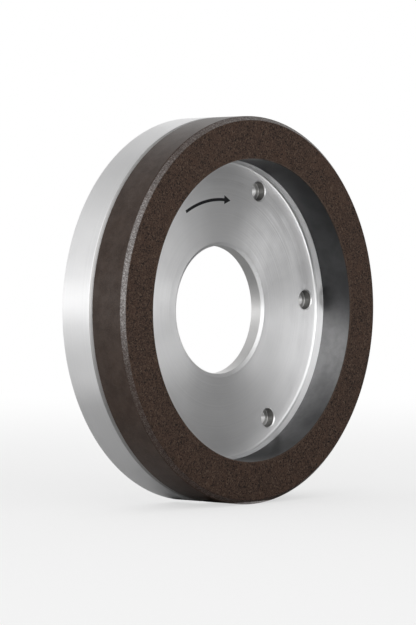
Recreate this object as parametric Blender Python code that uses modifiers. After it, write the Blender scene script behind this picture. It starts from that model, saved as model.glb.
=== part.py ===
"""Diamond cup grinding wheel: a turned aluminium body that carries a resin-bonded diamond rim.

Units are metres. The spindle axis is world Y, the working face looks along -Y, +Z is up, and the
origin is on the axis at the middle of the wheel's width. Every piece is drawn as it stands on a
lathe: radius along X, and height along Z from the seat, the back of the web, to the working face.
"""

import math

import bpy

# Aluminium body
WHEEL_DIAMETER = 0.150
BORE_DIAMETER = 0.050
BORE_LEAD_WIDTH = 0.00135
BORE_LEAD_DEPTH = 0.0008
BORE_BACK_BREAK = 0.0004
CUP_FILLET = 0.0012
BACK_RING_WIDTH = 0.0165
RECESS_DEPTH = 0.008
RECESS_FILLET = 0.0012
RECESS_BREAK = 0.0006
WEB_THICKNESS = 0.006
BAND_FRONT_CHAMFER = 0.0011
BAND_BACK_CHAMFER = 0.001

# Seat of the rim: a flat land, and a lip inside it that centres the rim
LAND_RISE = 0.0015
LIP_HEIGHT = 0.0023
LIP_WALL = 0.004

# Ring of counterbored screw holes in the web, set in from the cup wall
HOLE_COUNT = 6
HOLE_INSET = 0.0065
FIRST_HOLE_ANGLE = math.radians(3.6)
SCREW_HOLE_DIAMETER = 0.0045
COUNTERBORE_DIAMETER = 0.0075
COUNTERBORE_DEPTH = 0.0036
COUNTERBORE_CHAMFER = 0.0006

# Diamond rim, the sleeve inside it, and the film of adhesive that holds the rim on its seat
RIM_WIDTH = 0.0165
RIM_HEIGHT = 0.0156
RIM_CHAMFER = 0.00175
RIM_FRONT_LIP = 0.0005
SLEEVE_WALL = 0.0012
FILM_THICKNESS = 0.0003
SEAT_GAP = 0.0003

# Facets
TURNED_STEPS = 96
HOLE_STEPS = 24
FILLET_STEPS = 3
CUT_OVERRUN = 0.001
MERGE_DISTANCE = 0.00001
SHARP_ANGLE = math.radians(30)

# Radii from the spindle axis
WHEEL_RADIUS = WHEEL_DIAMETER / 2
BORE_RADIUS = BORE_DIAMETER / 2
CUP_RADIUS = WHEEL_RADIUS - RIM_WIDTH
RECESS_RADIUS = WHEEL_RADIUS - BACK_RING_WIDTH
HOLE_CIRCLE_RADIUS = CUP_RADIUS - HOLE_INSET
BOND_LINE = SEAT_GAP + FILM_THICKNESS + SEAT_GAP
LIP_RADIUS = CUP_RADIUS + LIP_WALL
LIP_POCKET_RADIUS = LIP_RADIUS + BOND_LINE
SLEEVE_RADIUS = CUP_RADIUS + SLEEVE_WALL
SLEEVE_POCKET_RADIUS = SLEEVE_RADIUS + SEAT_GAP
LAND_RADIUS = WHEEL_RADIUS - BAND_FRONT_CHAMFER

# Heights above the seat
BODY_BACK = -RECESS_DEPTH
WEB_FRONT = WEB_THICKNESS
LAND = WEB_FRONT + LAND_RISE
LIP_TOP = LAND + LIP_HEIGHT
RIM_BACK = LAND + BOND_LINE
LIP_POCKET = LIP_TOP + BOND_LINE
WORKING_FACE = RIM_BACK + RIM_HEIGHT
SLEEVE_BACK = LIP_TOP + SEAT_GAP
SLEEVE_FRONT = WORKING_FACE - RIM_FRONT_LIP - SEAT_GAP
MIDDLE = (BODY_BACK + WORKING_FACE) / 2


def clear_scene():
    for old in list(bpy.data.objects):
        bpy.data.objects.remove(old)


def collection(name):
    group = bpy.data.collections.new(name)
    bpy.context.scene.collection.children.link(group)
    return group


def material(name, color, roughness, metallic):
    finish = bpy.data.materials.new(name)
    finish.use_nodes = True
    shader = finish.node_tree.nodes["Principled BSDF"]
    shader.inputs["Base Color"].default_value = (*color, 1)
    shader.inputs["Roughness"].default_value = roughness
    shader.inputs["Metallic"].default_value = metallic
    return finish


def quarter_arc(center, radius, start_angle, end_angle):
    """Points of a fillet from one angle to the other, both ends included."""
    points = []
    for step in range(FILLET_STEPS + 1):
        angle = start_angle + (end_angle - start_angle) * step / FILLET_STEPS
        points.append((center[0] + radius * math.cos(angle), center[1] + radius * math.sin(angle)))
    return points


def turned(name, profile, steps, closed, group):
    """An object whose profile of (radius, height) points is turned about its Z axis."""
    edges = [(i, i + 1) for i in range(len(profile) - 1)]
    if closed:
        edges.append((len(profile) - 1, 0))
    mesh = bpy.data.meshes.new(name)
    mesh.from_pydata([(radius, 0, height) for radius, height in profile], edges, [])
    piece = bpy.data.objects.new(name, mesh)
    group.objects.link(piece)
    screw = piece.modifiers.new("turn", "SCREW")
    screw.axis = "Z"
    screw.angle = math.tau
    screw.steps = steps
    screw.render_steps = steps
    screw.use_merge_vertices = True
    screw.merge_threshold = MERGE_DISTANCE
    return piece


def body_profile():
    """Section of the body: lip, land and band down the outside, then recess, bore, web and cup wall."""
    recess_arc = quarter_arc(
        (RECESS_RADIUS - RECESS_FILLET, -RECESS_FILLET), RECESS_FILLET, 0, math.pi / 2
    )
    cup_arc = quarter_arc(
        (CUP_RADIUS - CUP_FILLET, WEB_FRONT + CUP_FILLET), CUP_FILLET, -math.pi / 2, 0
    )
    return [
        (CUP_RADIUS, LIP_TOP),
        (LIP_RADIUS, LIP_TOP),
        (LIP_RADIUS, LAND),
        (LAND_RADIUS, LAND),
        (WHEEL_RADIUS, LAND - BAND_FRONT_CHAMFER),
        (WHEEL_RADIUS, BODY_BACK + BAND_BACK_CHAMFER),
        (WHEEL_RADIUS - BAND_BACK_CHAMFER, BODY_BACK),
        (RECESS_RADIUS + RECESS_BREAK, BODY_BACK),
        (RECESS_RADIUS, BODY_BACK + RECESS_BREAK),
        *recess_arc,
        (BORE_RADIUS + BORE_BACK_BREAK, 0),
        (BORE_RADIUS, BORE_BACK_BREAK),
        (BORE_RADIUS, WEB_FRONT - BORE_LEAD_DEPTH),
        (BORE_RADIUS + BORE_LEAD_WIDTH, WEB_FRONT),
        *cup_arc,
    ]


def rim_profile():
    """Section of the diamond rim: chamfered outside, pockets for the lip and the sleeve inside."""
    return [
        (CUP_RADIUS, WORKING_FACE),
        (WHEEL_RADIUS - RIM_CHAMFER, WORKING_FACE),
        (WHEEL_RADIUS, WORKING_FACE - RIM_CHAMFER),
        (WHEEL_RADIUS, RIM_BACK),
        (LIP_POCKET_RADIUS, RIM_BACK),
        (LIP_POCKET_RADIUS, LIP_POCKET),
        (SLEEVE_POCKET_RADIUS, LIP_POCKET),
        (SLEEVE_POCKET_RADIUS, WORKING_FACE - RIM_FRONT_LIP),
        (CUP_RADIUS, WORKING_FACE - RIM_FRONT_LIP),
    ]


def sleeve_profile():
    return [
        (CUP_RADIUS, SLEEVE_FRONT),
        (SLEEVE_RADIUS, SLEEVE_FRONT),
        (SLEEVE_RADIUS, SLEEVE_BACK),
        (CUP_RADIUS, SLEEVE_BACK),
    ]


def film_profile():
    """Section of the adhesive: over the lip, down its side and out across the land."""
    inner_side = LIP_RADIUS + SEAT_GAP
    outer_side = inner_side + FILM_THICKNESS
    over_lip = LIP_TOP + SEAT_GAP
    over_land = LAND + SEAT_GAP
    return [
        (SLEEVE_POCKET_RADIUS, over_lip + FILM_THICKNESS),
        (outer_side, over_lip + FILM_THICKNESS),
        (outer_side, over_land + FILM_THICKNESS),
        (LAND_RADIUS, over_land + FILM_THICKNESS),
        (LAND_RADIUS, over_land),
        (inner_side, over_land),
        (inner_side, over_lip),
        (SLEEVE_POCKET_RADIUS, over_lip),
    ]


def hole_profile():
    """Section of one screw hole's cutter, from above the web's front to below its back."""
    bore = COUNTERBORE_DIAMETER / 2
    mouth = bore + COUNTERBORE_CHAMFER + CUT_OVERRUN
    screw = SCREW_HOLE_DIAMETER / 2
    floor = WEB_FRONT - COUNTERBORE_DEPTH
    return [
        (0, WEB_FRONT + CUT_OVERRUN),
        (mouth, WEB_FRONT + CUT_OVERRUN),
        (bore, WEB_FRONT - COUNTERBORE_CHAMFER),
        (bore, floor),
        (screw, floor),
        (screw, -CUT_OVERRUN),
        (0, -CUT_OVERRUN),
    ]


def cut_screw_holes(body, axis, cutters):
    """Cut the ring of holes, evenly spaced on their pitch circle."""
    for index in range(HOLE_COUNT):
        angle = FIRST_HOLE_ANGLE + index * math.tau / HOLE_COUNT
        cutter = turned(f"screw_hole_{index + 1}", hole_profile(), HOLE_STEPS, False, cutters)
        cutter.location.x = HOLE_CIRCLE_RADIUS * math.cos(angle)
        cutter.location.y = HOLE_CIRCLE_RADIUS * math.sin(angle)
        cutter.parent = axis
        cutter.hide_render = True
        cutter.display_type = "WIRE"
    cut = body.modifiers.new("screw holes", "BOOLEAN")
    cut.operation = "DIFFERENCE"
    cut.solver = "EXACT"
    cut.operand_type = "COLLECTION"
    cut.collection = cutters


def keep_as_mesh(piece):
    """Turn the modifiers' result into the piece's own mesh, smooth on its round faces."""
    scene_graph = bpy.context.evaluated_depsgraph_get()
    mesh = bpy.data.meshes.new_from_object(piece.evaluated_get(scene_graph))
    piece.modifiers.clear()
    piece.data = mesh
    mesh.shade_smooth()
    mesh.set_sharp_from_angle(angle=SHARP_ANGLE)


def main():
    clear_scene()
    wheel = collection("diamond grinding wheel")
    cutters = collection("cutters")

    # Lathe height becomes the way to the working face, world -Y
    axis = bpy.data.objects.new("spindle_axis", None)
    wheel.objects.link(axis)
    axis.rotation_euler.x = math.pi / 2
    axis.location.y = MIDDLE

    pieces = (
        ("wheel_body", body_profile(), material("aluminium", (0.80, 0.80, 0.81), 0.32, 1)),
        ("diamond_rim", rim_profile(), material("resin bond", (0.042, 0.031, 0.025), 0.55, 0)),
        ("rim_sleeve", sleeve_profile(), material("dark steel", (0.20, 0.20, 0.205), 0.35, 1)),
        ("rim_adhesive", film_profile(), material("epoxy film", (0.10, 0.085, 0.06), 0.5, 0)),
    )
    for name, profile, finish in pieces:
        piece = turned(name, profile, TURNED_STEPS, True, wheel)
        piece.parent = axis
        if name == "wheel_body":
            cut_screw_holes(piece, axis, cutters)
        keep_as_mesh(piece)
        piece.data.materials.clear()
        piece.data.materials.append(finish)


main()
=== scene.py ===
"""Looks of a diamond cup grinding wheel: finely turned pieces, their finishes, and the studio.

Units are metres. The spindle axis is Y, the working face looks along -Y, and +Z is up.
"""

import math

import bmesh
import bpy
from mathutils import Matrix, Vector


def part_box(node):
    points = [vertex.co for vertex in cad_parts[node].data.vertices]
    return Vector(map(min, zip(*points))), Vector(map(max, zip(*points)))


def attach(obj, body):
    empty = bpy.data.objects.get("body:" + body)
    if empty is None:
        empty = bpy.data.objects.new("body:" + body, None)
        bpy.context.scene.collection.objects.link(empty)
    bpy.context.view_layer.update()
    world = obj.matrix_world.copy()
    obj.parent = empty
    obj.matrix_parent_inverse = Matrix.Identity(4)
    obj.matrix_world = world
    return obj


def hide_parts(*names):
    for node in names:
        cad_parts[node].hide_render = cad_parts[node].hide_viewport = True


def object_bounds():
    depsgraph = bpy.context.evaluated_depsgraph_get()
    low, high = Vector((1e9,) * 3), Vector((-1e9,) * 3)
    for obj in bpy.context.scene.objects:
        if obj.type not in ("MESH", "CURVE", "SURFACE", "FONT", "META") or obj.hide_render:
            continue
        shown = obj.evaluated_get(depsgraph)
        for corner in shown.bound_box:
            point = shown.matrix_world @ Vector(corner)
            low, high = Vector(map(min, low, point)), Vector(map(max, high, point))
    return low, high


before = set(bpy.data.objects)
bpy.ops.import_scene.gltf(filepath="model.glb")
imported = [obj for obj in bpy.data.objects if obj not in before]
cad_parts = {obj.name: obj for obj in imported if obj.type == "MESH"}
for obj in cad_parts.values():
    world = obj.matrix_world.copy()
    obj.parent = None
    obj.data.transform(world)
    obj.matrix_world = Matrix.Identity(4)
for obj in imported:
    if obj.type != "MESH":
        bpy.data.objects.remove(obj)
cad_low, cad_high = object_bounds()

body_low, body_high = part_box("wheel_body")
rim_low, rim_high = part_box("diamond_rim")
sleeve_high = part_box("rim_sleeve")[1]

# Sizes of the turned pieces that the boxes of the CAD nodes don't give
BORE_RADIUS = 0.025
RIM_WIDTH = 0.0165
BACK_RING_WIDTH = 0.0165
LIP_WALL = 0.004
RECESS_DEPTH = 0.008
WEB_THICKNESS = 0.006
LAND_RISE = 0.0015

# Radii from the spindle axis
WHEEL_RADIUS = body_high.x
SLEEVE_RADIUS = sleeve_high.x
CUP_RADIUS = WHEEL_RADIUS - RIM_WIDTH
RECESS_RADIUS = WHEEL_RADIUS - BACK_RING_WIDTH
LIP_RADIUS = CUP_RADIUS + LIP_WALL

# Places along the spindle axis, which runs from the working face to the back
WORKING_FACE = rim_low.y
LIP_TOP = body_low.y
RIM_BACK = rim_high.y
BODY_BACK = body_high.y
WEB_BACK = BODY_BACK - RECESS_DEPTH
WEB_FRONT = WEB_BACK - WEB_THICKNESS
LAND = WEB_FRONT - LAND_RISE

# Chamfers, fillets and broken edges
RIM_CHAMFER = 0.00175
RIM_FRONT_LIP = 0.0005
BAND_FRONT_CHAMFER = 0.0011
BAND_BACK_CHAMFER = 0.001
BAND_FRONT = LAND + BAND_FRONT_CHAMFER
RECESS_BREAK = 0.0006
BORE_LEAD_WIDTH = 0.00135
BORE_LEAD_DEPTH = 0.0008
BORE_BACK_BREAK = 0.0004
FILLET = 0.0012
METAL_EDGE = 0.00012
RESIN_EDGE = 0.0002
FINE_EDGE = 0.00006

# Ring of counterbored screw holes
HOLE_COUNT = 6
HOLE_INSET = 0.0065
HOLE_CIRCLE_RADIUS = CUP_RADIUS - HOLE_INSET
FIRST_HOLE_ANGLE = math.radians(3.6)
SCREW_HOLE_RADIUS = 0.00225
COUNTERBORE_RADIUS = 0.00375
COUNTERBORE_DEPTH = 0.0036
COUNTERBORE_CHAMFER = 0.0005
COUNTERBORE_FLOOR = WEB_FRONT + COUNTERBORE_DEPTH
HOLE_MOUTH_RADIUS = COUNTERBORE_RADIUS + COUNTERBORE_CHAMFER
CUT_OVERRUN = 0.001

# Joints between the pieces, closed to a hairline
HAIRLINE = 0.00002
BOND_LINE = LAND - RIM_BACK
BEAD_INSET = 0.0001
BEAD_RADIUS = WHEEL_RADIUS - BAND_FRONT_CHAMFER - BEAD_INSET

# Smoothness of the turned meshes
TURNED_STEPS = 288
HOLE_STEPS = 48
EDGE_SEGMENTS = 3
FILLET_SEGMENTS = 8
MERGE_DISTANCE = 0.000002
SHARP_ANGLE = math.radians(35)

# Etched arrow on the web: its radius, then lengths round it from +X upwards
ARROW_RADIUS = 0.043
ARROW_TIP = ARROW_RADIUS * math.radians(82)
ARROW_NECK = ARROW_RADIUS * math.radians(87)
ARROW_TAIL = ARROW_RADIUS * math.radians(118)
ARROW_LINE = 0.0011
ARROW_HEAD_SPREAD = 0.48
ARROW_BLUR = 0.0001

# Shared by the finishes: the soft border of a mask, and how fast the tool's path grows along the axis
BORDER = 0.0001
PATH_RATE = 1.37

# Finish of the aluminium. Each groove side has its slope and its share of the surface
GROOVE_SIDES = ((-0.46, 0.14), (-0.23, 0.26), (0.0, 0.20), (0.23, 0.26), (0.46, 0.14))
SATIN = 0.285
DULL_ALUMINIUM = (0.775, 0.775, 0.78, 1)
BRIGHT_ALUMINIUM = (0.875, 0.875, 0.878, 1)
BRIGHT_EDGE = (0.96, 0.96, 0.96, 1)
# Inside the counterbores: painted shade, dark on the wall and lighter on the floor
SHADED_HOLE_WALL = (0.24, 0.236, 0.228, 1)
SHADED_HOLE_FLOOR = (0.68, 0.68, 0.675, 1)
JOINT_STAIN = (0.30, 0.29, 0.275, 1)
BORE_STAIN = (0.55, 0.54, 0.525, 1)
ETCHED_BLACK = (0.030, 0.030, 0.032, 1)

# Finish of the lining
LINING_DARK = (0.065, 0.065, 0.067, 1)
LINING_LIGHT = (0.31, 0.31, 0.312, 1)
LINING_GLANCE = (0.7, 0.7, 0.7, 1)
# Shift of the broad noise that paints shade and light on the lining: placed so that its shaded part is
# dark and its lit part light
PAINTED_SHADE_SHIFT = (1.36, 1.06, 1.65)
LINE_HEIGHT = 0.0001

# Finish of the resin bond
SMOOTH_DARK = (0.0195, 0.0115, 0.0076, 1)
SMOOTH_LIGHT = (0.0410, 0.0238, 0.0158, 1)
ROUGH_DARK = (0.022, 0.0123, 0.0084, 1)
ROUGH_LIGHT = (0.070, 0.0425, 0.0305, 1)
WARM_PATCH = (0.066, 0.0370, 0.0245, 1)
LIGHT_GRIT = (0.088, 0.0590, 0.0420, 1)
DARK_GRIT = (0.009, 0.0060, 0.0045, 1)
# A lighter tint along the inner edge of the working face
INNER_EDGE_TINT = (0.130, 0.1050, 0.0880, 1)
RAGGED_EDGE = 0.0003
GRIT_HEIGHT = 0.0001

# Finish of the adhesive
EPOXY_DARK = (0.035, 0.03, 0.024, 1)
EPOXY_LIGHT = (0.07, 0.058, 0.043, 1)
EPOXY_RIPPLE = 0.0002

# The camera, as the photograph was taken. In the picture, the centre of the working face is right of
# the middle and a little above it
VIEW_AZIMUTH = math.radians(48.56)
VIEW_ELEVATION = math.radians(1.16)
VIEW_DISTANCE = 1.1586
FACE_CENTRE_RIGHT = 0.01839
FACE_CENTRE_UP = 0.00082
LENS_MM = 172.8
SENSOR_MM = 36.0
CLIP_END = 20.0

# The studio's floor and wall: shades of grey, and where the floor fades to plain white
FLOOR_RADIUS = 2.0
FLOOR_SHADE = 0.86
FLOOR_WHITE = 0.6
FADE_BEHIND = (0.1, 0.9)
FADE_ROUND = (0.6, 1.4)
WALL_HEIGHT = 0.36
WALL_SHADE = 0.8
STUDIO_STEPS = 128

# Light panels: degrees from the front round to the right, then the glow of the lower and the upper panel
PANEL_DISTANCE = 1.5
PANEL_WIDTH = 1.24
PANEL_SPLIT = 0.55
PANEL_TOP = 1.8
AIR_GLOW = 0.6
LIGHT_BANK = (
    ("back_left_panel", -133, 0.35, 0.15),
    ("left_panel", -88, 0.8, 0.6),
    ("front_left_panel", -43, 1.05, 0.9),
    ("front_panel", 2, 0.7, 0.6),
    ("back_right_panel", 137, 0.1, 0.4),
    ("back_panel", -178, 0.1, 0.25),
)

# Papers of the cards that only reflections show: shade of grey and glow
CARD_PAPERS = {
    "black": (0.10, 0.0),
    "dark": (0.28, 0.0),
    "grey": (0.5, 0.0),
    "pale": (0.74, 0.0),
    "bright": (0.8, 1.3),
}

# The cards: start and end in degrees from the front round to the right, near and far reach, level,
# height of the folded-up side, and paper
CARD_LIFT = 0.001
CARD_GROUND = cad_low.z + CARD_LIFT
CARD_STEPS = 32
CARDS = (
    # The two near cards make a dark mat under the wheel: painted shade that stands for the floor's shadow
    # in the reflections
    ("near_front_card", -70, 90, 0.005, 0.14, CARD_GROUND, 0.0, "black"),
    ("near_back_card", 90, 290, 0.005, 0.12, CARD_GROUND, 0.0, "grey"),
    ("right_card", 40, 78, 0.14, 0.8, CARD_GROUND, 1.0, "dark"),
    ("front_left_card", -70, -8, 0.14, 0.3, CARD_GROUND, 0.0, "black"),
    ("front_card", -8, 40, 0.14, 0.38, CARD_GROUND, 0.0, "bright"),
    ("front_far_card", -8, 40, 0.38, 0.8, CARD_GROUND, 0.0, "grey"),
    ("back_right_card", 100, 195, 0.12, 0.7, CARD_GROUND, 0.0, "dark"),
    ("back_card", 195, 260, 0.12, 0.3, CARD_GROUND, 0.0, "pale"),
    ("overhead_card", 0, 360, 0.005, 0.95, PANEL_TOP, 0.0, "dark"),
)

WHITE = (1, 1, 1, 1)
ORIGIN = (0.0, 0.0, 0.0)
SPINDLE = (0.0, 1.0, 0.0)
UPRIGHT = (0.0, 0.0, 1.0)


class Wire:
    """An output socket. Arithmetic on it adds Math nodes to its tree."""

    def __init__(self, nodes, socket):
        self.nodes = nodes
        self.socket = socket

    def __add__(self, other):
        return self.nodes.maths("ADD", self, other)

    def __radd__(self, other):
        return self.nodes.maths("ADD", other, self)

    def __sub__(self, other):
        return self.nodes.maths("SUBTRACT", self, other)

    def __rsub__(self, other):
        return self.nodes.maths("SUBTRACT", other, self)

    def __mul__(self, other):
        return self.nodes.maths("MULTIPLY", self, other)

    def __rmul__(self, other):
        return self.nodes.maths("MULTIPLY", other, self)

    def __pow__(self, other):
        return self.nodes.maths("POWER", self, other)


class Nodes:
    """A node tree that is filled one node at a time."""

    def __init__(self, tree):
        self.tree = tree
        tree.nodes.clear()

    def add(self, kind, settings=None, inputs=None, output=0):
        """Add a node, set it up, then give its sockets their values or links."""
        node = self.tree.nodes.new(kind)
        for name, value in (settings or {}).items():
            setattr(node, name, value)
        for key, value in (inputs or {}).items():
            if isinstance(value, Wire):
                self.tree.links.new(value.socket, node.inputs[key])
            else:
                node.inputs[key].default_value = value
        return Wire(self, node.outputs[output]) if node.outputs else None

    def show(self, shader):
        self.add("ShaderNodeOutputMaterial", None, {"Surface": shader})

    def place(self):
        """The place on the piece, in object coordinates."""
        return self.add("ShaderNodeTexCoord", output="Object")

    def part(self, place, axis):
        return self.add("ShaderNodeSeparateXYZ", None, {0: place}, axis)

    def maths(self, operation, first, second=0.0):
        return self.add("ShaderNodeMath", {"operation": operation}, {0: first, 1: second})

    def vector(self, operation, inputs, output=0):
        return self.add("ShaderNodeVectorMath", {"operation": operation}, inputs, output)

    def mix(self, factor, first, second):
        """Mix of two colours."""
        settings = {"data_type": "RGBA"}
        return self.add("ShaderNodeMix", settings, {0: factor, 6: first, 7: second}, 2)

    def step(self, value, low, high):
        """Smooth step of a value from 0 at low to 1 at high."""
        settings = {"interpolation_type": "SMOOTHSTEP"}
        return self.add("ShaderNodeMapRange", settings, {0: value, 1: low, 2: high, 3: 0.0, 4: 1.0})

    def noise(self, place, scale, detail, roughness=0.5):
        inputs = {"Vector": place, "Scale": scale, "Detail": detail, "Roughness": roughness}
        return self.add("ShaderNodeTexNoise", None, inputs)

    def line_noise(self, path, scale, detail):
        """Noise along one length, the same all round the axis."""
        inputs = {"W": path, "Scale": scale, "Detail": detail}
        return self.add("ShaderNodeTexNoise", {"noise_dimensions": "1D"}, inputs)


def grey(shade):
    return (shade, shade, shade, 1)


def new_material(name):
    material = bpy.data.materials.new(name)
    material.use_nodes = True
    return material, Nodes(material.node_tree)


def surface(nodes, inputs):
    nodes.show(nodes.add("ShaderNodeBsdfPrincipled", None, inputs))


def lathe_place(nodes, place):
    """The radius of a place from the spindle axis, and its way along the axis."""
    x = nodes.part(place, "X")
    z = nodes.part(place, "Z")
    return (x * x + z * z) ** 0.5, nodes.part(place, "Y")


def tool_path(radius, along):
    """A length that grows from groove to groove, on flat faces and on round ones."""
    return radius + PATH_RATE * along


def grooved_metal(nodes, place, tilt, depth, inputs):
    """Metal turned on a lathe, with grooves finer than the eye.

    The sides of the grooves, each tipped across its groove, are mixed by their share of the surface.
    The tilt, which changes along the tool's path, tips all of them a little more.
    """
    normal = nodes.add("ShaderNodeNewGeometry", output="Normal")
    around = nodes.vector("CROSS_PRODUCT", {0: SPINDLE, 1: place})
    around = nodes.vector("NORMALIZE", {0: around})
    across = nodes.vector("CROSS_PRODUCT", {0: normal, 1: around})
    metal = None
    covered = 0.0
    for slope, share in GROOVE_SIDES:
        tipped = nodes.vector("SCALE", {0: across, "Scale": depth * (slope + tilt)})
        tipped = nodes.vector("ADD", {0: normal, 1: tipped})
        tipped = nodes.vector("NORMALIZE", {0: tipped})
        side_inputs = {**inputs, "Metallic": 1.0, "Normal": tipped}
        side = nodes.add("ShaderNodeBsdfPrincipled", None, side_inputs)
        covered += share
        if metal is None:
            metal = side
        else:
            metal = nodes.add("ShaderNodeMixShader", None, {0: share / covered, 1: metal, 2: side})
    nodes.show(metal)


def hole_distance(nodes, place, radius):
    """How far a place is from the axis of the nearest screw hole."""
    angle = nodes.maths("ARCTAN2", nodes.part(place, "Z"), nodes.part(place, "X"))
    angle = nodes.maths("PINGPONG", angle - FIRST_HOLE_ANGLE, math.pi / HOLE_COUNT)
    across = radius * nodes.maths("COSINE", angle) - HOLE_CIRCLE_RADIUS
    around = radius * nodes.maths("SINE", angle)
    return (across * across + around * around) ** 0.5


def turning_arrow(nodes, place, radius):
    """A plain etched arrow on the web that shows which way the wheel turns."""
    angle = nodes.maths("ARCTAN2", nodes.part(place, "Z"), nodes.part(place, "X"))
    way = ARROW_RADIUS * angle
    aside = nodes.maths("ABSOLUTE", radius - ARROW_RADIUS)
    half_line = ARROW_LINE / 2
    shaft = nodes.step(way, ARROW_NECK - ARROW_BLUR, ARROW_NECK)
    shaft = shaft * nodes.step(way, ARROW_TAIL, ARROW_TAIL - ARROW_BLUR)
    shaft = shaft * nodes.step(aside, half_line + ARROW_BLUR, half_line)
    half_head = ARROW_HEAD_SPREAD * (way - ARROW_TIP)
    head = nodes.step(way, ARROW_NECK + ARROW_BLUR, ARROW_NECK)
    head = head * nodes.step(half_head - aside, 0.0, ARROW_BLUR)
    return nodes.maths("MAXIMUM", shaft, head)


def aluminium_finish():
    """Fine-turned aluminium with a smoother cup wall, and bright-edged holes with painted shade inside.
    """
    material, nodes = new_material("turned_aluminium")
    place = nodes.place()
    radius, along = lathe_place(nodes, place)
    path = tool_path(radius, along)

    # Masks of the body's parts
    in_front = 1.0 - nodes.step(along, WEB_BACK - 3 * BORDER, WEB_BACK - BORDER)
    from_hole = hole_distance(nodes, place, radius)
    drilled = in_front * (1.0 - nodes.step(from_hole, COUNTERBORE_RADIUS, COUNTERBORE_RADIUS + BORDER))
    edged = in_front * (1.0 - nodes.step(from_hole, HOLE_MOUTH_RADIUS - BORDER, HOLE_MOUTH_RADIUS))
    hole_edge = edged * (1.0 - drilled)
    hole_floor = nodes.step(along, COUNTERBORE_FLOOR - 3 * BORDER, COUNTERBORE_FLOOR - BORDER)
    cup_wall = in_front * nodes.step(radius, CUP_RADIUS - FILLET, CUP_RADIUS - FILLET + BORDER)
    cup_wall = cup_wall * (1.0 - nodes.step(radius, CUP_RADIUS + 2 * BORDER, CUP_RADIUS + 3 * BORDER))
    joint = nodes.step(radius, LIP_RADIUS, LIP_RADIUS + 2 * BORDER)
    joint = joint * (1.0 - nodes.step(along, BAND_FRONT - 2 * BORDER, BAND_FRONT))
    bore = 1.0 - nodes.step(radius, BORE_RADIUS + BORDER, BORE_RADIUS + 2 * BORDER)
    mark = in_front * turning_arrow(nodes, place, radius)

    fine_lines = nodes.line_noise(path, scale=1500.0, detail=3.0) - 0.5
    streaks = nodes.line_noise(path, scale=520.0, detail=3.0) - 0.5
    smudges = nodes.noise(place, scale=60.0, detail=3.0, roughness=0.6) - 0.5
    tilt = 0.2 * fine_lines + 0.14 * streaks + 0.3 * smudges
    depth = (1.0 - edged) * (1.0 - 0.85 * cup_wall)

    cloud = nodes.noise(place, scale=38.0, detail=3.0)
    rings = nodes.line_noise(path, scale=900.0, detail=3.0)
    color = nodes.mix(0.6 * cloud + 0.4 * rings, DULL_ALUMINIUM, BRIGHT_ALUMINIUM)
    color = nodes.mix(hole_edge, color, BRIGHT_EDGE)
    # Painted shade inside the counterbores, darker on the wall than on the floor
    color = nodes.mix(drilled, color, nodes.mix(hole_floor, SHADED_HOLE_WALL, SHADED_HOLE_FLOOR))
    color = nodes.mix(0.5 * joint, color, JOINT_STAIN)
    color = nodes.mix(0.45 * bore, color, BORE_STAIN)
    color = nodes.mix(mark, color, ETCHED_BLACK)
    roughness = SATIN + 0.05 * cloud + 0.05 * joint + 0.08 * drilled + 0.18 * hole_edge + 0.3 * mark
    grooved_metal(nodes, place, tilt, depth, {"Base Color": color, "Roughness": roughness})
    return material


def steel_finish():
    """Dark, finely turned lining of the rim, with broad patches of painted shade and painted light, dark
    where the lining lies in shade and light where it is lit, and fine clouds.
    """
    material, nodes = new_material("dark_turned_steel")
    place = nodes.place()
    radius, along = lathe_place(nodes, place)
    # Painted shade and painted light: a broad noise, shifted so that it darkens where the lining lies in
    # shade and lightens where it is lit
    painted_shade_place = nodes.vector("ADD", {0: place, 1: PAINTED_SHADE_SHIFT})
    painted_shade = nodes.noise(painted_shade_place, scale=17.0, detail=1.0)
    painted_shade = nodes.step(painted_shade, low=0.38, high=0.62)
    cloud = nodes.noise(place, scale=170.0, detail=4.0, roughness=0.65)
    cloud = nodes.step(cloud, low=0.3, high=0.7)
    lines = nodes.line_noise(tool_path(radius, along), scale=4200.0, detail=1.0)
    painted_shade_and_cloud = painted_shade * (0.75 + 0.25 * cloud) + 0.06 * cloud
    bump = nodes.add("ShaderNodeBump", None, {"Strength": 0.1, "Distance": LINE_HEIGHT, "Height": lines})
    surface(nodes, {
        "Base Color": nodes.mix(painted_shade_and_cloud, LINING_DARK, LINING_LIGHT),
        "Metallic": 1.0,
        "Roughness": 0.32 + 0.06 * cloud,
        "Specular Tint": LINING_GLANCE,
        "Normal": bump,
    })
    return material


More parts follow.
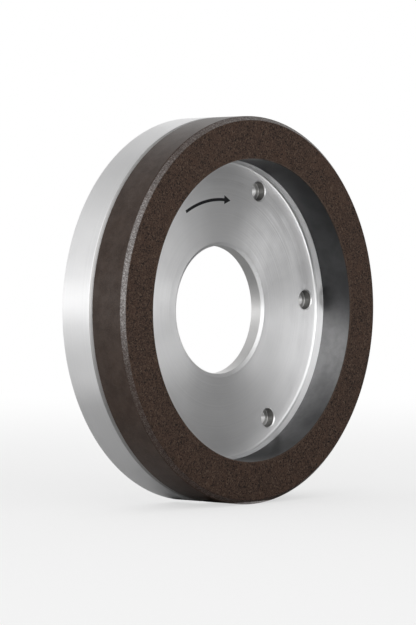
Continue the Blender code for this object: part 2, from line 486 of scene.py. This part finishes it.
def resin_finish():
    """Resin bond full of diamond grit.

    It is matte and grainy on the dressed face, glinting on the ground chamfer, and smooth outside.
    """
    material, nodes = new_material("resin_bond")
    place = nodes.place()
    radius, along = lathe_place(nodes, place)

    # Masks of the ring's parts, with ragged borders
    ragged = nodes.noise(place, scale=2200.0, detail=1.0) - 0.5
    chamfer_radius = WHEEL_RADIUS - RIM_CHAMFER
    chamfer_back = WORKING_FACE + RIM_CHAMFER
    ragged_radius = radius + RAGGED_EDGE * ragged
    ragged_along = along + RAGGED_EDGE * ragged
    outer = nodes.step(ragged_radius, chamfer_radius, chamfer_radius + RAGGED_EDGE)
    behind = nodes.step(ragged_along, chamfer_back - RAGGED_EDGE, chamfer_back)
    face = 1.0 - outer
    chamfer = outer * (1.0 - behind)
    outside = outer * behind
    inner_edge = radius + 2 * RAGGED_EDGE * ragged
    inner_rim_band = 1.0 - nodes.step(inner_edge, CUP_RADIUS + 2 * BORDER, CUP_RADIUS + 5 * BORDER)

    grit = nodes.noise(place, scale=2600.0, detail=1.0, roughness=0.6)
    grain = nodes.step(grit, low=0.3, high=0.7)
    specks = nodes.add("ShaderNodeTexVoronoi", None, {"Vector": place, "Scale": 2000.0}, "Color")
    speck = nodes.add("ShaderNodeSeparateColor", None, {0: specks}, "Red")
    cloud = nodes.noise(place, scale=90.0, detail=3.0)
    mottle = nodes.noise(place, scale=210.0, detail=4.0, roughness=0.65)
    mottle = nodes.step(mottle, low=0.3, high=0.7)
    warm = nodes.noise(place, scale=140.0, detail=4.0, roughness=0.6)
    warm = nodes.step(warm, low=0.42, high=0.72)

    smooth = nodes.mix(0.5 * cloud + 0.5 * mottle, SMOOTH_DARK, SMOOTH_LIGHT)
    rough = nodes.mix(grain, ROUGH_DARK, ROUGH_LIGHT)
    rough = nodes.mix(0.5 * warm, rough, WARM_PATCH)
    color = nodes.mix(1.0 - 0.7 * outside, smooth, rough)
    open_grit = 0.15 + 0.85 * face
    color = nodes.mix(open_grit * nodes.step(speck, low=0.86, high=0.99), color, LIGHT_GRIT)
    color = nodes.mix(open_grit * nodes.step(speck, low=0.16, high=0.02), color, DARK_GRIT)
    # A lighter tint along the inner edge of the working face
    color = nodes.mix(0.2 * inner_rim_band, color, INNER_EDGE_TINT)
    bump = nodes.add("ShaderNodeBump", None, {
        "Strength": 0.1 + 0.7 * (1.0 - outside),
        "Distance": GRIT_HEIGHT,
        "Height": grit + 0.6 * speck,
    })
    surface(nodes, {
        "Base Color": color,
        "Roughness": 0.3 + 0.4 * face + 0.1 * chamfer + 0.06 * cloud,
        "Specular IOR Level": 0.17,
        "Coat Weight": outside * (0.035 + 0.06 * mottle) + chamfer * (0.36 + 1.1 * grain * speck),
        "Coat Roughness": 0.33,
        "Coat IOR": 2.6,
        "Normal": bump,
    })
    return material


def adhesive_finish():
    """Cured epoxy bead in the joint behind the rim."""
    material, nodes = new_material("cured_epoxy")
    cloud = nodes.noise(nodes.place(), scale=160.0, detail=3.0)
    bump = nodes.add("ShaderNodeBump", None, {"Strength": 0.4, "Distance": EPOXY_RIPPLE, "Height": cloud})
    surface(nodes, {
        "Base Color": nodes.mix(cloud, EPOXY_DARK, EPOXY_LIGHT),
        "Roughness": 0.35 + 0.2 * cloud,
        "Normal": bump,
    })
    return material


def seen_ray(nodes):
    """1 for a ray that shows the background: straight, in a reflection or through glass."""
    camera = nodes.add("ShaderNodeLightPath", output="Is Camera Ray")
    glossy = nodes.add("ShaderNodeLightPath", output="Is Glossy Ray")
    through = nodes.add("ShaderNodeLightPath", output="Is Transmission Ray")
    return nodes.maths("MAXIMUM", nodes.maths("MAXIMUM", camera, glossy), through)


def white_paper(nodes, shade, white):
    """Matte paper of a shade of grey, turned plain white by the share that is given."""
    paper = nodes.add("ShaderNodeBsdfDiffuse", None, {"Color": grey(shade)})
    glow = nodes.add("ShaderNodeEmission", None, {"Color": WHITE, "Strength": 1.0})
    nodes.show(nodes.add("ShaderNodeMixShader", None, {0: white, 1: paper, 2: glow}))


def floor_finish(view_forward):
    """Pale paper that turns plain white behind the wheel and far from it, where it meets the wall."""
    material, nodes = new_material("studio_floor")
    place = nodes.place()
    behind = nodes.vector("DOT_PRODUCT", {0: place, 1: view_forward}, "Value")
    reach = nodes.vector("LENGTH", {0: place}, "Value")
    bare = nodes.maths("MAXIMUM", nodes.step(behind, *FADE_BEHIND), nodes.step(reach, *FADE_ROUND))
    white = FLOOR_WHITE + (1.0 - FLOOR_WHITE) * bare
    white_paper(nodes, FLOOR_SHADE, white * seen_ray(nodes))
    return material


def wall_finish():
    """White wall round the studio, bright to the camera and in the metal."""
    material, nodes = new_material("studio_wall")
    white_paper(nodes, WALL_SHADE, seen_ray(nodes))
    return material


def card_finish(name, shade, glow):
    """Plain card that shapes the reflections, with a glow of its own if it is a light card."""
    material, nodes = new_material(name)
    surface(nodes, {
        "Base Color": grey(shade),
        "Roughness": 1.0,
        "Emission Color": WHITE,
        "Emission Strength": glow,
    })
    return material


def turned_mesh(corners, steps):
    """A bmesh turned about Y from a closed section, given as corners of (radius, along, edge radius)."""
    bm = bmesh.new()
    points = [bm.verts.new((radius, along, 0.0)) for radius, along, edge in corners]
    bm.faces.new(points)
    for size in sorted({edge for radius, along, edge in corners if edge}):
        bmesh.ops.bevel(
            bm,
            geom=[point for point, corner in zip(points, corners) if corner[2] == size],
            offset=size,
            offset_type="OFFSET",
            affect="VERTICES",
            segments=FILLET_SEGMENTS if size >= FILLET else EDGE_SEGMENTS,
            profile=0.5,
            material=-1,
        )
    bmesh.ops.delete(bm, geom=bm.faces[:], context="FACES_ONLY")
    bmesh.ops.spin(
        bm,
        geom=bm.verts[:] + bm.edges[:],
        cent=ORIGIN,
        axis=SPINDLE,
        angle=math.tau,
        steps=steps,
        use_merge=True,
    )
    bmesh.ops.remove_doubles(bm, verts=bm.verts[:], dist=MERGE_DISTANCE)
    bmesh.ops.recalc_face_normals(bm, faces=bm.faces[:])
    return bm


def only_verts(geometry):
    return [item for item in geometry if isinstance(item, bmesh.types.BMVert)]


def new_object(name, bm):
    mesh = bpy.data.meshes.new(name)
    bm.to_mesh(mesh)
    bm.free()
    made = bpy.data.objects.new(name, mesh)
    bpy.context.scene.collection.objects.link(made)
    return made


def finish_piece(piece, material, node):
    """Smooth the round faces, keep the flats flat, hang the piece on the root body, and hide the CAD node
    it stands for.
    """
    piece.data.materials.clear()
    piece.data.materials.append(material)
    piece.data.shade_smooth()
    piece.data.set_sharp_from_angle(angle=SHARP_ANGLE)
    weighted = piece.modifiers.new("flat faces", "WEIGHTED_NORMAL")
    weighted.keep_sharp = True
    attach(piece, "root")
    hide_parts(node)


def body_corners():
    """Section of the body: lip, land and band down the outside, then recess, bore, web and cup wall."""
    return [
        (CUP_RADIUS, LIP_TOP, METAL_EDGE),
        (LIP_RADIUS, LIP_TOP, METAL_EDGE),
        (LIP_RADIUS, LAND, 0),
        (WHEEL_RADIUS - BAND_FRONT_CHAMFER, LAND, METAL_EDGE),
        (WHEEL_RADIUS, BAND_FRONT, METAL_EDGE),
        (WHEEL_RADIUS, BODY_BACK - BAND_BACK_CHAMFER, METAL_EDGE),
        (WHEEL_RADIUS - BAND_BACK_CHAMFER, BODY_BACK, METAL_EDGE),
        (RECESS_RADIUS + RECESS_BREAK, BODY_BACK, METAL_EDGE),
        (RECESS_RADIUS, BODY_BACK - RECESS_BREAK, METAL_EDGE),
        (RECESS_RADIUS, WEB_BACK, FILLET),
        (BORE_RADIUS + BORE_BACK_BREAK, WEB_BACK, METAL_EDGE),
        (BORE_RADIUS, WEB_BACK - BORE_BACK_BREAK, METAL_EDGE),
        (BORE_RADIUS, WEB_FRONT + BORE_LEAD_DEPTH, METAL_EDGE),
        (BORE_RADIUS + BORE_LEAD_WIDTH, WEB_FRONT, METAL_EDGE),
        (CUP_RADIUS, WEB_FRONT, FILLET),
    ]


def hole_corners():
    """Section of a screw hole's cutter about its own axis, from before the web to behind it."""
    start = WEB_FRONT - CUT_OVERRUN
    end = WEB_BACK + CUT_OVERRUN
    return [
        (0, start, 0),
        (HOLE_MOUTH_RADIUS + CUT_OVERRUN, start, 0),
        (COUNTERBORE_RADIUS, WEB_FRONT + COUNTERBORE_CHAMFER, FINE_EDGE),
        (COUNTERBORE_RADIUS, COUNTERBORE_FLOOR, FINE_EDGE),
        (SCREW_HOLE_RADIUS, COUNTERBORE_FLOOR, FINE_EDGE),
        (SCREW_HOLE_RADIUS, end, 0),
        (0, end, 0),
    ]


def hole_cutters():
    """All the screw holes' cutters as one object."""
    bm = turned_mesh(hole_corners(), HOLE_STEPS)
    first = bm.verts[:] + bm.edges[:] + bm.faces[:]
    bmesh.ops.translate(bm, verts=bm.verts[:], vec=(HOLE_CIRCLE_RADIUS, 0.0, 0.0))
    for index in range(1, HOLE_COUNT):
        copy = bmesh.ops.duplicate(bm, geom=first)["geom"]
        turn = Matrix.Rotation(-index * math.tau / HOLE_COUNT, 3, "Y")
        bmesh.ops.rotate(bm, verts=only_verts(copy), cent=ORIGIN, matrix=turn)
    turn = Matrix.Rotation(-FIRST_HOLE_ANGLE, 3, "Y")
    bmesh.ops.rotate(bm, verts=bm.verts[:], cent=ORIGIN, matrix=turn)
    return new_object("screw_hole_cutters", bm)


def cut_away(piece, cutters):
    """Take the cutters' shape out of the piece, for good."""
    cut = piece.modifiers.new("screw holes", "BOOLEAN")
    cut.operation = "DIFFERENCE"
    cut.solver = "EXACT"
    cut.object = cutters
    scene_graph = bpy.context.evaluated_depsgraph_get()
    mesh = bpy.data.meshes.new_from_object(piece.evaluated_get(scene_graph))
    piece.modifiers.clear()
    piece.data = mesh
    bpy.data.objects.remove(cutters)


def make_body(material):
    """The aluminium body, turned whole and then drilled."""
    body = new_object("turned_body", turned_mesh(body_corners(), TURNED_STEPS))
    cut_away(body, hole_cutters())
    finish_piece(body, material, "wheel_body")


def make_rim(material):
    """The abrasive ring, from its chamfered working face to the joint behind it."""
    lip_pocket_radius = LIP_RADIUS + BOND_LINE
    lip_pocket = LIP_TOP - BOND_LINE
    sleeve_pocket_radius = SLEEVE_RADIUS + HAIRLINE
    front_lip_back = WORKING_FACE + RIM_FRONT_LIP
    corners = [
        (CUP_RADIUS, WORKING_FACE, RESIN_EDGE),
        (WHEEL_RADIUS - RIM_CHAMFER, WORKING_FACE, RESIN_EDGE),
        (WHEEL_RADIUS, WORKING_FACE + RIM_CHAMFER, RESIN_EDGE),
        (WHEEL_RADIUS, RIM_BACK, FINE_EDGE),
        (lip_pocket_radius, RIM_BACK, 0),
        (lip_pocket_radius, lip_pocket, 0),
        (sleeve_pocket_radius, lip_pocket, 0),
        (sleeve_pocket_radius, front_lip_back, 0),
        (CUP_RADIUS, front_lip_back, FINE_EDGE),
    ]
    rim = new_object("abrasive_ring", turned_mesh(corners, TURNED_STEPS))
    finish_piece(rim, material, "diamond_rim")


def make_sleeve(material):
    """The lining, from just behind the rim's front lip to just before the body's lip."""
    front = WORKING_FACE + RIM_FRONT_LIP + HAIRLINE
    back = LIP_TOP - HAIRLINE
    corners = [
        (CUP_RADIUS, front, FINE_EDGE),
        (SLEEVE_RADIUS, front, 0),
        (SLEEVE_RADIUS, back, 0),
        (CUP_RADIUS, back, METAL_EDGE),
    ]
    sleeve = new_object("rim_lining", turned_mesh(corners, TURNED_STEPS))
    finish_piece(sleeve, material, "rim_sleeve")


def make_adhesive(material):
    """The bead that fills the joint, over the body's lip and out across the land."""
    inner_radius = SLEEVE_RADIUS + HAIRLINE
    lip_side = LIP_RADIUS + HAIRLINE
    rim_side = LIP_RADIUS + BOND_LINE - HAIRLINE
    lip_front = LIP_TOP - BOND_LINE + HAIRLINE
    lip_back = LIP_TOP - HAIRLINE
    land_front = RIM_BACK + HAIRLINE
    land_back = LAND - HAIRLINE
    corners = [
        (inner_radius, lip_front, 0),
        (rim_side, lip_front, 0),
        (rim_side, land_front, 0),
        (BEAD_RADIUS, land_front, FINE_EDGE),
        (BEAD_RADIUS, land_back, FINE_EDGE),
        (lip_side, land_back, 0),
        (lip_side, lip_back, 0),
        (inner_radius, lip_back, 0),
    ]
    bead = new_object("adhesive_bead", turned_mesh(corners, TURNED_STEPS))
    finish_piece(bead, material, "rim_adhesive")


def view_axes():
    """The camera's right, up and forward directions."""
    level = math.cos(VIEW_ELEVATION)
    forward = Vector((
        math.sin(VIEW_AZIMUTH) * level,
        math.cos(VIEW_AZIMUTH) * level,
        -math.sin(VIEW_ELEVATION),
    ))
    right = Vector((math.cos(VIEW_AZIMUTH), -math.sin(VIEW_AZIMUTH), 0.0))
    return right, right.cross(forward), forward


def make_camera():
    right, up, forward = view_axes()
    lens = bpy.data.cameras.new("camera")
    lens.lens = LENS_MM
    lens.sensor_width = SENSOR_MM
    lens.clip_end = CLIP_END
    face_centre = Vector((0.0, WORKING_FACE, 0.0))
    aim = face_centre - right * FACE_CENTRE_RIGHT - up * FACE_CENTRE_UP
    camera = bpy.data.objects.new("camera", lens)
    camera.location = aim - forward * VIEW_DISTANCE
    camera.rotation_mode = "QUATERNION"
    camera.rotation_quaternion = forward.to_track_quat("-Z", "Y")
    bpy.context.scene.collection.objects.link(camera)
    bpy.context.scene.camera = camera


def make_floor():
    bm = bmesh.new()
    bmesh.ops.create_circle(bm, cap_ends=True, segments=STUDIO_STEPS, radius=FLOOR_RADIUS)
    bmesh.ops.translate(bm, verts=bm.verts[:], vec=(0.0, 0.0, cad_low.z))
    floor = new_object("studio_floor", bm)
    floor.data.materials.append(floor_finish(view_axes()[2]))
    return floor


def make_wall():
    """A low wall round the floor's edge."""
    bm = bmesh.new()
    bmesh.ops.create_circle(bm, cap_ends=False, segments=STUDIO_STEPS, radius=FLOOR_RADIUS)
    bmesh.ops.translate(bm, verts=bm.verts[:], vec=(0.0, 0.0, cad_low.z))
    raised = only_verts(bmesh.ops.extrude_edge_only(bm, edges=bm.edges[:])["geom"])
    bmesh.ops.translate(bm, verts=raised, vec=(0.0, 0.0, WALL_HEIGHT - cad_low.z))
    wall = new_object("studio_wall", bm)
    wall.data.materials.append(wall_finish())
    return wall


def make_card(name, start, end, near, far, level, height, material):
    """A level card that only reflections show, with its far side folded up if it has a height."""
    bm = bmesh.new()
    inner = bm.verts.new((0.0, -near, level))
    fold = bm.verts.new((0.0, -far, level))
    edges = [bm.edges.new((inner, fold))]
    if height:
        top = bm.verts.new((0.0, -far, level + height))
        edges.append(bm.edges.new((fold, top)))
    turn = Matrix.Rotation(math.radians(start), 3, "Z")
    bmesh.ops.rotate(bm, verts=bm.verts[:], cent=ORIGIN, matrix=turn)
    bmesh.ops.spin(
        bm,
        geom=bm.verts[:] + edges,
        cent=ORIGIN,
        axis=UPRIGHT,
        angle=math.radians(end - start),
        steps=CARD_STEPS,
    )
    card = new_object(name, bm)
    card.data.materials.append(material)
    card.visible_camera = False
    card.visible_diffuse = False
    card.visible_shadow = False
    return card


def make_studio():
    """A round pale floor under the wheel, a low white wall round it, and the cards."""
    floor = make_floor()
    wall = make_wall()
    papers = {}
    for paper, (shade, glow) in CARD_PAPERS.items():
        papers[paper] = card_finish(paper + "_card", shade, glow)
    cards = [make_card(*card, papers[paper]) for *card, paper in CARDS]


def add_light_panel(name, azimuth, foot, height, glow):
    """An upright, evenly bright panel that faces the wheel."""
    azimuth = math.radians(azimuth)
    light = bpy.data.lights.new(name, "AREA")
    light.shape = "RECTANGLE"
    light.size = PANEL_WIDTH
    light.size_y = height
    light.energy = glow * math.pi * PANEL_WIDTH * height
    outward = Vector((math.sin(azimuth), -math.cos(azimuth), 0.0))
    lamp = bpy.data.objects.new(name, light)
    lamp.location = outward * PANEL_DISTANCE + Vector((0.0, 0.0, foot + height / 2))
    lamp.rotation_mode = "QUATERNION"
    lamp.rotation_quaternion = (-outward).to_track_quat("-Z", "Y")
    lamp.visible_camera = False
    bpy.context.scene.collection.objects.link(lamp)


def make_lights():
    """A bank of panels, brightest at the front left, and even, dimmer light from all round."""
    for name, azimuth, low, high in LIGHT_BANK:
        add_light_panel("low_" + name, azimuth, cad_low.z, PANEL_SPLIT - cad_low.z, low)
        add_light_panel("high_" + name, azimuth, PANEL_SPLIT, PANEL_TOP - PANEL_SPLIT, high)
    world = bpy.data.worlds.new("studio_air")
    world.use_nodes = True
    nodes = Nodes(world.node_tree)
    air = nodes.add("ShaderNodeBackground", None, {"Color": WHITE, "Strength": AIR_GLOW})
    nodes.add("ShaderNodeOutputWorld", None, {"Surface": air})
    bpy.context.scene.world = world


make_body(aluminium_finish())
make_rim(resin_finish())
make_sleeve(steel_finish())
make_adhesive(adhesive_finish())
make_camera()
make_studio()
make_lights()
bpy.context.scene.view_settings.view_transform = "Standard"
